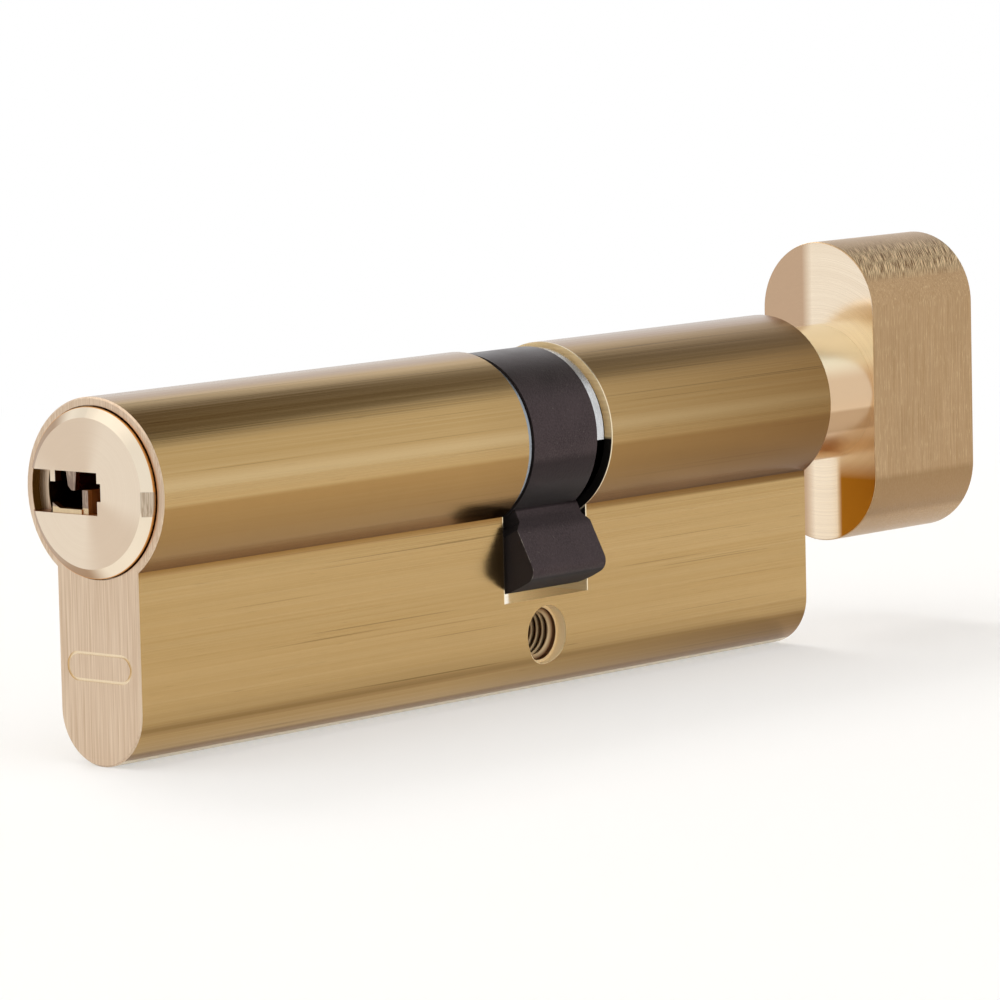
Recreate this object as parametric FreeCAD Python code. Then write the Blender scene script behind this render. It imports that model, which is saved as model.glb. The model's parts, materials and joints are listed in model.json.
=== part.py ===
import FreeCAD, Part
import math
import os

# Euro profile lock cylinder with a keyed side and a thumbturn side, in millimetres.
# The origin is the centre of the fixing screw hole. +Y runs along the barrel from the key side to
# the knob side, +Z points up from the pillar to the barrel.

# ---------------------------------------------------------------- driving dimensions
# Profile body
key_side_length = 55.0
knob_side_length = 40.0
barrel_diameter = 17.0
pillar_width = 10.0
profile_height = 33.0
edge_break = 0.15
fixing_hole_drop = 18.7
fixing_thread_diameter = 5.0
fixing_mouth_diameter = 5.6
fixing_mouth_depth = 1.1
cam_gap_width = 12.0
cam_gap_below_barrel = 6.65
barrel_wall = 1.95
counterbore_rim = 0.72
counterbore_depth = 0.9
gap_recess_rim = 0.9
gap_recess_depth = 0.9

# Engraved outline on the pillar's key end
plate_width = 8.0
plate_height = 2.65
plate_line = 0.25
plate_depth = 0.12
plate_drop = 15.6

# Turning parts
running_clearance = 0.05
end_clearance = 0.05
plug_flange_clearance = 0.12
turn_flange_clearance = 0.27
plug_face_protrusion = 1.0
plug_bevel_width = 0.93
plug_bevel_length = 0.7
journal_step = 1.0
journal_tip_inset = 1.1
collar_width = 0.2

# Keyway
keyway_height = 3.8
keyway_right_wall = 1.3
keyway_groove_reach = 0.45
keyway_groove_height = 1.6
keyway_groove_rise = 0.15
keyway_end_from_cam = 8.75
ward_setback = 0.3
top_ward_left = -2.75
top_ward_right = -1.5
top_ward_height = 0.17
top_ward_taper = 0.2
bottom_ward_left = -0.8
bottom_ward_right = -0.1
bottom_ward_height = 0.25
floor_ward_left = -4.4
floor_ward_height = 0.42
floor_ward_end_height = 0.9
small_ward_left = -4.45
small_ward_width = 0.6
small_ward_drop = 1.0

# Pin stacks
pin_count = 6
first_pin_from_face = 7.5
pin_pitch = 4.6
pin_diameter = 2.8
pin_clearance = 0.05
pin_tip_diameter = 1.0
pin_tip_length = 0.8
key_pin_gap_to_plug_surface = 0.2
driver_pin_gap_to_bore = 0.08
driver_pin_length = 5.6
chamber_plug_diameter = 3.2
chamber_plug_length = 2.4
key_pin_heights = [0.35, -0.05, 0.45, 0.15, -0.15, 0.3]

# Springs
driver_spring_wire = 0.3
driver_spring_diameter = 2.4
driver_spring_turns = 7
clutch_spring_wire = 0.2
clutch_spring_diameter = 1.9
clutch_spring_turns = 8
spring_end_gap = 0.05

# Hardened guard pins
body_guard_diameter = 1.6
body_guard_length = 14.0
body_guard_first = 2.6
body_guard_pitch = 2.1
body_guard_count = 2
body_guard_cover = 0.85
plug_guard_diameter = 1.8
plug_guard_setback = 2.3
plug_guard_offset = 4.0
plug_guard_first = 3.2
plug_guard_pitch = 2.2
plug_guard_count = 2

# Retaining rings
plug_ring_thickness = 0.8
turn_ring_thickness = 1.1
ring_setback = 0.45
ring_groove_depth = 0.8
ring_opening_angle = 60.0
plug_ring_opening_at = 215.0
turn_ring_opening_at = -33.0

# Cam
cam_ring_setback = 0.3
cam_front_space = 1.1
cam_back_space = 1.8
cam_back_recess = 0.5
cam_nose_front_space = 0.6
cam_nose_back_space = 0.8
cam_nose_shoulder = 0.8
cam_nose_shoulder_from_ring = 1.8
cam_nose_clearance = 0.15
cam_nose_tip_half = 2.7
cam_nose_root_half = 2.17
cam_nose_corner = 1.2
cam_nose_angle = 24.0
cam_web_start = -1.0
cam_web_thickness = 3.0

# Clutch between key plug and cam
tongue_edge_setback = 1.0
tongue_thickness = 2.9
tongue_clearance = 0.05
clutch_tongue_length = 3.1
clutch_travel = 1.4
clutch_rest_gap = 0.25
clutch_rod_diameter = 3.0
turn_tongue_engagement = 1.45
spring_pocket_diameter = 2.3
clutch_pocket_depth = 1.7
turn_pocket_depth = 3.4

# Thumbturn
knob_gap = 0.15
neck_diameter = 13.6
neck_length = 8.8
knob_width = 14.0
knob_height = 30.3
knob_depth = 16.5
knob_edge_break = 0.15
spindle_diameter = 8.0
spindle_engagement = 13.8
spindle_clearance = 0.025
spindle_flat_depth = 0.8
spindle_flat_start = 1.5
spindle_flat_length = 9.0
grub_diameter = 4.0
grub_length = 3.4
grub_from_neck_start = 4.2
grub_socket_across_flats = 2.0
grub_socket_depth = 2.0

# ---------------------------------------------------------------- derived values
axis_height = fixing_hole_drop
barrel_radius = barrel_diameter / 2
half_pillar = pillar_width / 2
pillar_bottom = axis_height + barrel_radius - profile_height
half_gap = cam_gap_width / 2
key_face = -key_side_length
knob_face = knob_side_length
bore_radius = barrel_radius - barrel_wall
plug_radius = bore_radius - running_clearance
counterbore_radius = barrel_radius - counterbore_rim
gap_recess_radius = barrel_radius - gap_recess_rim
plug_flange_radius = counterbore_radius - plug_flange_clearance
plug_face_radius = plug_flange_radius - plug_bevel_width
journal_radius = plug_radius - journal_step
ring_outer_radius = barrel_radius - ring_setback
ring_groove_radius = plug_radius - ring_groove_depth
turn_flange_radius = gap_recess_radius - turn_flange_clearance
cam_gap_depth = barrel_radius + cam_gap_below_barrel
cam_ring_radius = barrel_radius - cam_ring_setback
cam_ring_start = cam_front_space - half_gap
cam_ring_end = half_gap - cam_back_space
cam_nose_start = cam_nose_front_space - half_gap
cam_nose_end = half_gap - cam_nose_back_space
cam_nose_reach = cam_gap_depth - cam_nose_clearance
tongue_half_width = journal_radius - tongue_edge_setback
plug_guard_half_length = plug_radius - plug_guard_setback
body_guard_top = axis_height - bore_radius - body_guard_cover
plug_front = key_face - plug_face_protrusion
flange_back = key_face + counterbore_depth - end_clearance
keyway_end = -half_gap - keyway_end_from_cam
keyway_floor = axis_height - keyway_height / 2
keyway_ceiling = axis_height + keyway_height / 2
pin_positions = [key_face + first_pin_from_face + i * pin_pitch for i in range(pin_count)]
pin_radius = pin_diameter / 2
chamber_radius = pin_radius + pin_clearance
driver_top = axis_height - bore_radius - driver_pin_gap_to_bore
driver_bottom = driver_top - driver_pin_length
key_pin_bottom = axis_height - plug_radius + key_pin_gap_to_plug_surface
chamber_plug_top = pillar_bottom + chamber_plug_length
plug_ring_start = end_clearance - half_gap
plug_ring_end = plug_ring_start + plug_ring_thickness
plug_collar_end = plug_ring_end + collar_width
turn_ring_start = cam_ring_end + end_clearance
turn_ring_end = turn_ring_start + turn_ring_thickness
turn_flange_start = turn_ring_end + end_clearance
turn_flange_end = half_gap + gap_recess_depth - end_clearance
turn_collar_start = cam_ring_end - cam_back_recess + end_clearance
journal_tip = -journal_tip_inset
cam_web_end = cam_web_start + cam_web_thickness
clutch_tongue_end = cam_web_start - clutch_rest_gap
clutch_tongue_start = clutch_tongue_end - clutch_tongue_length
clutch_rod_start = keyway_end - clutch_travel
turn_tongue_start = cam_web_end - turn_tongue_engagement
turn_journal_start = cam_web_end + 2 * end_clearance
neck_start = knob_face + knob_gap
knob_start = neck_start + neck_length
knob_end = knob_start + knob_depth
spindle_end = neck_start + spindle_engagement
past = 1.0


# ---------------------------------------------------------------- small shape helpers
def vec(x, y, z):
    return FreeCAD.Vector(x, y, z)


def lengthwise_rod(radius, start, end):
    """Cylinder on the barrel axis from y = start to y = end."""
    return Part.makeCylinder(radius, end - start, vec(0, start, axis_height), vec(0, 1, 0))


def upright_rod(radius, low, high, x, y):
    return Part.makeCylinder(radius, high - low, vec(x, y, low), vec(0, 0, 1))


def cross_rod(radius, start, end, y, z):
    return Part.makeCylinder(radius, end - start, vec(start, y, z), vec(1, 0, 0))


def block(x_low, x_high, y_low, y_high, z_low, z_high):
    size = (x_high - x_low, y_high - y_low, z_high - z_low)
    return Part.makeBox(*size, vec(x_low, y_low, z_low))


def prism(points, start, end):
    """Closed polygon of (x, z) points, extruded from y = start to y = end."""
    corners = [vec(x, start, z) for x, z in points]
    face = Part.Face(Part.makePolygon(corners + corners[:1]))
    return face.extrude(vec(0, end - start, 0))


def coil_spring(wire, diameter, turns, length, foot, axis):
    """Helical wire of the given overall length, standing on foot along axis."""
    mean_radius = (diameter - wire) / 2
    rise = length - wire
    helix = Part.makeHelix(rise / turns, rise, mean_radius)
    section = Part.Wire(Part.makeCircle(wire / 2, vec(mean_radius, 0, 0), vec(0, 1, 0)))
    spring = Part.Wire(helix).makePipeShell([section], True, True)
    spring.translate(vec(0, 0, wire / 2))
    stand = FreeCAD.Placement(foot, FreeCAD.Rotation(vec(0, 0, 1), axis))
    spring.Placement = stand.multiply(spring.Placement)
    return spring


def export(node, shape):
    shape.exportStep("parts/" + node + ".step")


# ---------------------------------------------------------------- profile body
def profile_blank():
    """Barrel and pillar outline, extruded over the full length, with its end edges broken."""
    joint_drop = math.sqrt(barrel_radius**2 - half_pillar**2)
    joint = axis_height - joint_drop
    foot_centre = pillar_bottom + half_pillar
    right_joint = vec(half_pillar, key_face, joint)
    left_joint = vec(-half_pillar, key_face, joint)
    left_foot = vec(-half_pillar, key_face, foot_centre)
    right_foot = vec(half_pillar, key_face, foot_centre)
    barrel_top = vec(0, key_face, axis_height + barrel_radius)
    outline = Part.Wire([
        Part.Arc(right_joint, barrel_top, left_joint).toShape(),
        Part.makeLine(left_joint, left_foot),
        Part.Arc(left_foot, vec(0, key_face, pillar_bottom), right_foot).toShape(),
        Part.makeLine(right_foot, right_joint),
    ])
    blank = Part.Face(outline).extrude(vec(0, knob_face - key_face, 0))
    ends = [e for e in blank.Edges if e.BoundBox.YLength < past / 10]
    return blank.makeChamfer(edge_break, ends)


def fixing_hole():
    """Through hole for the fixing screw, with a wider plain mouth on each side."""
    outside = half_pillar + past
    mouth_floor = half_pillar - fixing_mouth_depth
    hole = cross_rod(fixing_thread_diameter / 2, -outside, outside, 0, 0)
    near_mouth = cross_rod(fixing_mouth_diameter / 2, mouth_floor, outside, 0, 0)
    far_mouth = cross_rod(fixing_mouth_diameter / 2, -outside, -mouth_floor, 0, 0)
    return hole.fuse([near_mouth, far_mouth])


def body_guard_rod(i, bottom):
    """Hardened pin, or its hole, ahead of the pin chambers."""
    y = key_face + body_guard_first + i * body_guard_pitch
    return upright_rod(body_guard_diameter / 2, bottom, body_guard_top, 0, y)


def stadium(width, height, depth):
    """Round-ended cutter in the pillar's key end, sunk to the given depth."""
    radius = height / 2
    half_straight = width / 2 - radius
    z = axis_height - plate_drop
    start = key_face - past
    plate = block(-half_straight, half_straight, start, key_face + depth, z - radius, z + radius)
    for x in (-half_straight, half_straight):
        end = Part.makeCylinder(radius, depth + past, vec(x, start, z), vec(0, 1, 0))
        plate = plate.fuse(end)
    return plate.removeSplitter()


def engraved_outline():
    """Cutter for the groove that rings the plate."""
    outer = stadium(plate_width, plate_height, plate_depth)
    inner_width = plate_width - 2 * plate_line
    inner_height = plate_height - 2 * plate_line
    return outer.cut(stadium(inner_width, inner_height, plate_depth + past))


def profile_body():
    body = profile_blank()
    body = body.cut(engraved_outline())
    gap_floor = axis_height - cam_gap_depth
    body = body.cut(block(-barrel_diameter, barrel_diameter, -half_gap, half_gap,
                          gap_floor, axis_height + barrel_diameter))
    body = body.cut(lengthwise_rod(bore_radius, key_face - past, knob_face + past))
    body = body.cut(lengthwise_rod(counterbore_radius, key_face - past, key_face + counterbore_depth))
    body = body.cut(lengthwise_rod(gap_recess_radius, 0, half_gap + gap_recess_depth))
    body = body.cut(fixing_hole())
    foot = pillar_bottom - past
    for y in pin_positions:
        body = body.cut(upright_rod(chamber_radius, foot, axis_height, 0, y))
        body = body.cut(upright_rod(chamber_plug_diameter / 2, foot, chamber_plug_top, 0, y))
    for i in range(body_guard_count):
        body = body.cut(body_guard_rod(i, foot))
    return body


def chamber_plug(y):
    """Brass stopper pressed into the foot of a pin chamber and dressed flush with the pillar."""
    stopper = upright_rod(chamber_plug_diameter / 2, pillar_bottom - past, chamber_plug_top, 0, y)
    return stopper.common(profile_blank())


# ---------------------------------------------------------------- pin stacks
def driver_pin(y):
    return upright_rod(pin_radius, driver_bottom, driver_top, 0, y)


def driver_spring(y):
    length = driver_bottom - chamber_plug_top - 2 * spring_end_gap
    foot = vec(0, y, chamber_plug_top + spring_end_gap)
    up = vec(0, 0, 1)
    return coil_spring(driver_spring_wire, driver_spring_diameter, driver_spring_turns, length, foot, up)


def key_pin(y, height):
    """Pointed pin in the plug; height is its tip above the barrel axis at the shear line."""
    tip = axis_height + height
    shoulder = tip - pin_tip_length
    shank = upright_rod(pin_radius, key_pin_bottom, shoulder, 0, y)
    tip_radius = pin_tip_diameter / 2
    point = Part.makeCone(pin_radius, tip_radius, pin_tip_length, vec(0, y, shoulder), vec(0, 0, 1))
    return shank.fuse(point).removeSplitter()


# ---------------------------------------------------------------- key side turning parts
def top_ward():
    """Ward that hangs from the keyway's ceiling, narrowing to a clipped corner."""
    above = keyway_ceiling + past
    tip = axis_height + top_ward_height
    clip = 2 * top_ward_taper
    return prism([
        (top_ward_left, above),
        (top_ward_left, keyway_ceiling),
        (top_ward_left + top_ward_taper, tip + clip),
        (top_ward_left + top_ward_taper + clip, tip),
        (top_ward_right - top_ward_taper, tip),
        (top_ward_right, keyway_ceiling),
        (top_ward_right, above),
    ], plug_front + ward_setback, keyway_end)


def floor_ward():
    """Low ward along the keyway's floor, running up to a point at its open side."""
    below = keyway_floor - past
    return prism([
        (floor_ward_left, below),
        (floor_ward_left, keyway_floor + floor_ward_end_height),
        (floor_ward_left + floor_ward_end_height, keyway_floor + floor_ward_height),
        (bottom_ward_left, keyway_floor + floor_ward_height),
        (bottom_ward_left, below),
    ], plug_front + ward_setback / 2, keyway_end)


def keyway_cutter():
    """Keyway, open at the plug's -X side, less the wards that stand in it."""
    front = plug_front - past
    slot = block(-barrel_radius, keyway_right_wall, front, keyway_end, keyway_floor, keyway_ceiling)
    groove_centre = axis_height + keyway_groove_rise
    half_groove = keyway_groove_height / 2
    groove = block(0, keyway_right_wall + keyway_groove_reach, front, keyway_end,
                   groove_centre - half_groove, groove_centre + half_groove)
    bottom_ward = block(bottom_ward_left, bottom_ward_right, plug_front + ward_setback, keyway_end,
                        keyway_floor - past, axis_height + bottom_ward_height)
    small_ward = block(small_ward_left, small_ward_left + small_ward_width, plug_front, keyway_end,
                       keyway_ceiling - small_ward_drop, keyway_ceiling + past)
    return slot.fuse(groove).cut([top_ward(), bottom_ward, floor_ward(), small_ward])


def grooved_shaft(start, end, groove_start, groove_end):
    """Plug cylinder with the groove of its retaining ring."""
    shaft = lengthwise_rod(plug_radius, start, end)
    groove = lengthwise_rod(plug_radius + past, groove_start, groove_end)
    groove = groove.cut(lengthwise_rod(ring_groove_radius, groove_start - past, groove_end + past))
    return shaft.cut(groove)


def plug_guard_rod(i, half_length):
    y = plug_front + plug_guard_first + i * plug_guard_pitch
    low = axis_height - half_length
    high = axis_height + half_length
    return upright_rod(plug_guard_diameter / 2, low, high, plug_guard_offset, y)


def key_plug():
    front = vec(0, plug_front, axis_height)
    bevel = Part.makeCone(plug_face_radius, plug_flange_radius, plug_bevel_length, front, vec(0, 1, 0))
    flange = lengthwise_rod(plug_flange_radius, plug_front + plug_bevel_length, flange_back)
    shaft = grooved_shaft(flange_back, plug_collar_end, plug_ring_start, plug_ring_end)
    journal = lengthwise_rod(journal_radius, plug_collar_end, journal_tip)
    plug = bevel.fuse([flange, shaft, journal])
    plug = plug.cut(keyway_cutter())
    for y in pin_positions:
        plug = plug.cut(upright_rod(chamber_radius, axis_height - plug_radius - past, keyway_ceiling, 0, y))
    for i in range(plug_guard_count):
        plug = plug.cut(plug_guard_rod(i, plug_radius))
    rod_radius = clutch_rod_diameter / 2 + running_clearance
    plug = plug.cut(lengthwise_rod(rod_radius, clutch_rod_start - end_clearance, journal_tip + past))
    half_slot = tongue_thickness / 2 + tongue_clearance
    slot_floor = clutch_tongue_start - end_clearance
    plug = plug.cut(block(-plug_radius, plug_radius, slot_floor, journal_tip + past,
                          axis_height - half_slot, axis_height + half_slot))
    return plug.removeSplitter()


def retaining_ring(start, end, opening_at):
    """Spring steel ring, open over ring_opening_angle about the direction opening_at."""
    ring = lengthwise_rod(ring_outer_radius, start, end)
    ring = ring.cut(lengthwise_rod(ring_groove_radius, start - past, end + past))
    reach = 2 * ring_outer_radius
    low = math.radians(opening_at - ring_opening_angle / 2)
    high = math.radians(opening_at + ring_opening_angle / 2)
    wedge = prism([
        (0, axis_height),
        (reach * math.cos(low), axis_height + reach * math.sin(low)),
        (reach * math.cos(high), axis_height + reach * math.sin(high)),
    ], start - past, end + past)
    return ring.cut(wedge)


# ---------------------------------------------------------------- clutch
def clutch_slider():
    """Push rod behind the keyway with the tongue that enters the cam."""
    half_thickness = tongue_thickness / 2
    rod = lengthwise_rod(clutch_rod_diameter / 2, clutch_rod_start, clutch_tongue_start)
    tongue = block(-tongue_half_width, tongue_half_width, clutch_tongue_start, clutch_tongue_end,
                   axis_height - half_thickness, axis_height + half_thickness)
    pocket_floor = clutch_tongue_end - clutch_pocket_depth
    pocket = lengthwise_rod(spring_pocket_diameter / 2, pocket_floor, clutch_tongue_end + past)
    return rod.fuse(tongue).cut(pocket)


def clutch_spring():
    start = clutch_tongue_end - clutch_pocket_depth + spring_end_gap
    end = turn_tongue_start + turn_pocket_depth - spring_end_gap
    length = end - start
    foot = vec(0, start, axis_height)
    along = vec(0, 1, 0)
    return coil_spring(clutch_spring_wire, clutch_spring_diameter, clutch_spring_turns, length, foot, along)


# ---------------------------------------------------------------- cam
def nose_section():
    """Nose seen along the barrel: sides that open towards a round-cornered tip."""
    tip_drop = math.sqrt(cam_nose_reach**2 - cam_nose_tip_half**2)
    root = axis_height - (journal_radius + cam_ring_radius) / 2
    tip = axis_height - tip_drop
    start = cam_nose_start
    left_root = vec(-cam_nose_root_half, start, root)
    right_root = vec(cam_nose_root_half, start, root)
    left_tip = vec(-cam_nose_tip_half, start, tip)
    right_tip = vec(cam_nose_tip_half, start, tip)
    outline = Part.Wire([
        Part.makeLine(left_root, left_tip),
        Part.Arc(left_tip, vec(0, start, axis_height - cam_nose_reach), right_tip).toShape(),
        Part.makeLine(right_tip, right_root),
        Part.makeLine(right_root, left_root),
    ])
    nose = Part.Face(outline).extrude(vec(0, cam_nose_end - start, 0))
    lengthwise = [e for e in nose.Edges if e.BoundBox.YLength > past]
    corners = [e for e in lengthwise if e.BoundBox.ZMax < root - past]
    return nose.makeFillet(cam_nose_corner, corners)


def nose_outline():
    """Nose seen from the front: a root as wide as the ring, then sloping shoulders to a wider head."""
    shoulder = axis_height - cam_ring_radius - cam_nose_shoulder_from_ring
    neck = shoulder + cam_nose_shoulder
    corners = [
        (cam_nose_start, shoulder),
        (cam_nose_start + cam_nose_shoulder, neck),
        (cam_nose_start + cam_nose_shoulder, axis_height),
        (cam_nose_end - cam_nose_shoulder, axis_height),
        (cam_nose_end - cam_nose_shoulder, neck),
        (cam_nose_end, shoulder),
        (cam_nose_end, axis_height - barrel_diameter),
        (cam_nose_start, axis_height - barrel_diameter),
    ]
    points = [vec(-barrel_radius, y, z) for y, z in corners]
    return Part.Face(Part.makePolygon(points + points[:1])).extrude(vec(barrel_diameter, 0, 0))


def cam_nose():
    """Nose of the cam at its rest angle."""
    nose = nose_section().common(nose_outline())
    nose = nose.cut(lengthwise_rod(cam_ring_radius, cam_ring_end, cam_nose_end + past))
    nose.rotate(vec(0, 0, axis_height), vec(0, 1, 0), -cam_nose_angle)
    return nose


def cam():
    bore = journal_radius + running_clearance
    ring = lengthwise_rod(cam_ring_radius, cam_ring_start, cam_ring_end)
    body = ring.fuse(cam_nose())
    body = body.cut(lengthwise_rod(bore, cam_ring_start - past, cam_web_start))
    body = body.cut(lengthwise_rod(bore, cam_web_end, cam_ring_end + past))
    recess_start = cam_ring_end - cam_back_recess
    body = body.cut(lengthwise_rod(bore_radius, recess_start, cam_ring_end + past))
    half_slot = tongue_thickness / 2 + tongue_clearance
    half_width = tongue_half_width + tongue_clearance
    body = body.cut(block(-half_width, half_width, cam_web_start - past, cam_web_end + past,
                          axis_height - half_slot, axis_height + half_slot))
    return body.removeSplitter()


# ---------------------------------------------------------------- thumbturn
def turn_shaft():
    """Thumbturn shaft: tongue in the cam, journal, ring groove, flange, bearing length and spindle."""
    half_thickness = tongue_thickness / 2
    tongue = block(-tongue_half_width, tongue_half_width, turn_tongue_start, turn_journal_start,
                   axis_height - half_thickness, axis_height + half_thickness)
    journal = lengthwise_rod(journal_radius, turn_journal_start, turn_collar_start)
    bearing = grooved_shaft(turn_collar_start, knob_face, turn_ring_start, turn_ring_end)
    flange = lengthwise_rod(turn_flange_radius, turn_flange_start, turn_flange_end)
    radius = spindle_diameter / 2
    spindle = lengthwise_rod(radius, knob_face, spindle_end)
    shaft = bearing.fuse([tongue, journal, flange, spindle])
    flat_start = neck_start + spindle_flat_start
    flat_end = flat_start + spindle_flat_length
    shaft = shaft.cut(block(-spindle_diameter, spindle_flat_depth - radius, flat_start, flat_end,
                            axis_height - radius, axis_height + radius))
    pocket_floor = turn_tongue_start + turn_pocket_depth
    pocket = lengthwise_rod(spring_pocket_diameter / 2, turn_tongue_start - past, pocket_floor)
    return shaft.cut(pocket).removeSplitter()


def knob_slab():
    """Oval grip, extruded along the barrel axis, with its outer edges broken."""
    radius = knob_width / 2
    straight = knob_height / 2 - radius
    right_top = vec(radius, knob_start, axis_height + straight)
    left_top = vec(-radius, knob_start, axis_height + straight)
    left_bottom = vec(-radius, knob_start, axis_height - straight)
    right_bottom = vec(radius, knob_start, axis_height - straight)
    crown = vec(0, knob_start, axis_height + knob_height / 2)
    foot = vec(0, knob_start, axis_height - knob_height / 2)
    outline = Part.Wire([
        Part.Arc(right_top, crown, left_top).toShape(),
        Part.makeLine(left_top, left_bottom),
        Part.Arc(left_bottom, foot, right_bottom).toShape(),
        Part.makeLine(right_bottom, right_top),
    ])
    slab = Part.Face(outline).extrude(vec(0, knob_depth, 0))
    rims = [e for e in slab.Edges if e.BoundBox.YLength < past / 10]
    return slab.makeFillet(knob_edge_break, rims)


def grub_y():
    return neck_start + grub_from_neck_start


def thumb_knob():
    neck = lengthwise_rod(neck_diameter / 2, neck_start, knob_start + past)
    knob = knob_slab().fuse(neck)
    socket_radius = spindle_diameter / 2 + spindle_clearance
    knob = knob.cut(lengthwise_rod(socket_radius, neck_start - past, spindle_end + end_clearance))
    knob = knob.cut(cross_rod(grub_diameter / 2, -neck_diameter, 0, grub_y(), axis_height))
    return knob.removeSplitter()


def knob_grub_screw():
    """Grub screw on the far side of the neck; its foot bears on the spindle's flat."""
    foot = spindle_flat_depth - spindle_diameter / 2
    head = foot - grub_length
    screw = cross_rod(grub_diameter / 2, head, foot, grub_y(), axis_height)
    corner_radius = grub_socket_across_flats / math.sqrt(3)
    corners = []
    for i in range(6):
        angle = math.radians(60 * i)
        y = grub_y() + corner_radius * math.cos(angle)
        z = axis_height + corner_radius * math.sin(angle)
        corners.append(vec(head, y, z))
    hexagon = Part.Face(Part.makePolygon(corners + corners[:1]))
    return screw.cut(hexagon.extrude(vec(grub_socket_depth, 0, 0)))


# ---------------------------------------------------------------- write every node
def main():
    export("profile_body", profile_body())
    for i, y in enumerate(pin_positions, start=1):
        export(f"chamber_plug_{i}", chamber_plug(y))
        export(f"driver_spring_{i}", driver_spring(y))
        export(f"driver_pin_{i}", driver_pin(y))
        export(f"key_pin_{i}", key_pin(y, key_pin_heights[i - 1]))
    guard_foot = body_guard_top - body_guard_length
    for i in range(body_guard_count):
        export(f"body_guard_pin_{i + 1}", body_guard_rod(i, guard_foot))
    export("key_plug", key_plug())
    for i in range(plug_guard_count):
        export(f"plug_guard_pin_{i + 1}", plug_guard_rod(i, plug_guard_half_length))
    plug_ring = retaining_ring(plug_ring_start, plug_ring_end, plug_ring_opening_at)
    export("plug_retaining_ring", plug_ring)
    export("clutch_slider", clutch_slider())
    export("clutch_spring", clutch_spring())
    export("cam", cam())
    export("turn_shaft", turn_shaft())
    turn_ring = retaining_ring(turn_ring_start, turn_ring_end, turn_ring_opening_at)
    export("turn_retaining_ring", turn_ring)
    export("thumb_knob", thumb_knob())
    export("knob_grub_screw", knob_grub_screw())


main()
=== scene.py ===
"""Finish and studio for a euro profile lock cylinder with a thumbturn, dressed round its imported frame."""

import json
import logging
import math
from dataclasses import dataclass
from enum import Enum
from typing import Any

import bpy
from mathutils import Matrix, Vector


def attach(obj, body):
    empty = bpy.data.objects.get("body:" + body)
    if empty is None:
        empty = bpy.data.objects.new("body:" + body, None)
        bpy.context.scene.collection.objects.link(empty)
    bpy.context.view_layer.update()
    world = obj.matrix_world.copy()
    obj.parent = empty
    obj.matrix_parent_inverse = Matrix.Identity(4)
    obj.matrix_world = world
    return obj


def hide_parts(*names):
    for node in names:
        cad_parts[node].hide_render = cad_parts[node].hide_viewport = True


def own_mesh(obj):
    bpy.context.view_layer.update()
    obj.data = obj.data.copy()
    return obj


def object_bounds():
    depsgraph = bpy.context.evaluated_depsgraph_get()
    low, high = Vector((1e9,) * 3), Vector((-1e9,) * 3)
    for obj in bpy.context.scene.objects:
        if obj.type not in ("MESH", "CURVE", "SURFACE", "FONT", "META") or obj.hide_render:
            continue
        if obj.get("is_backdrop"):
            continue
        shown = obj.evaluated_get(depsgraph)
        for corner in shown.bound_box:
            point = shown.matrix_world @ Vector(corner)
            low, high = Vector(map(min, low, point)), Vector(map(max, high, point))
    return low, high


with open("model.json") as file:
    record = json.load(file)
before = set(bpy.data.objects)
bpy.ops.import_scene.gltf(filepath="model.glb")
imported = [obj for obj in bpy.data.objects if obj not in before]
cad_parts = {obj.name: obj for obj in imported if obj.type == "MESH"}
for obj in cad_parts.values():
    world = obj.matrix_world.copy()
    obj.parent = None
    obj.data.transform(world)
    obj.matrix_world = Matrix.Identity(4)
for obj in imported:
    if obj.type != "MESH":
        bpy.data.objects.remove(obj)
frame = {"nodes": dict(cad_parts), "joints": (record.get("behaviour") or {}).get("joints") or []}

MM = 0.001
FAR = 100.0
AXIS_HEIGHT = next(joint["pos_m"][2] for joint in frame["joints"] if joint["name"] == "thumbturn_turn") / MM

log = logging.getLogger("lock_cylinder")

Colour = tuple[float, float, float, float]
Band = tuple[float, float]
Socket = bpy.types.NodeSocket
Level = Socket | float
Shade = Socket | float | str


class Slot(Enum):
    """Material slots of the record that finishes are made for."""

    BODY_BRASS = "body_brass"
    PLUG_BRASS = "plug_brass"
    KNOB_BRASS = "knob_brass"
    PIN_BRASS = "pin_brass"
    PIN_STEEL = "pin_steel"
    GUARD_STEEL = "guard_steel"
    SPRING_STEEL = "spring_steel"
    RING_STEEL = "ring_steel"
    CAM_STEEL = "cam_steel"


class Run(Enum):
    """Direction that tool marks run in."""

    LENGTHWISE = "y"
    UPRIGHT = "z"
    CROSSWISE = "x"


# ---------------------------------------------------------------- colours and nodes
def srgb(code: str) -> Colour:
    """Turns an sRGB hex colour into linear light.

    Args:
        code: Colour as "#rrggbb".

    Returns:
        Linear red, green, blue and an alpha of 1.
    """
    channels = []
    for start in (1, 3, 5):
        value = int(code[start:start + 2], 16) / 255
        channels.append(value / 12.92 if value <= 0.04045 else ((value + 0.055) / 1.055) ** 2.4)
    return (channels[0], channels[1], channels[2], 1.0)


def add_node(tree: bpy.types.NodeTree, kind: str, inputs: dict | None = None,
             **settings: Any) -> bpy.types.Node:
    """Adds a shader node with its settings and links.

    Args:
        tree: Node tree that takes the node.
        kind: Blender's name of the node's type.
        inputs: Socket name or number, with the value that it holds or the output that feeds it.
        settings: Properties of the node.

    Returns:
        The new node.
    """
    node = tree.nodes.new(kind)
    for name, value in settings.items():
        setattr(node, name, value)
    for socket, value in (inputs or {}).items():
        if isinstance(value, Socket):
            tree.links.new(value, node.inputs[socket])
        else:
            node.inputs[socket].default_value = value
    return node


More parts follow.
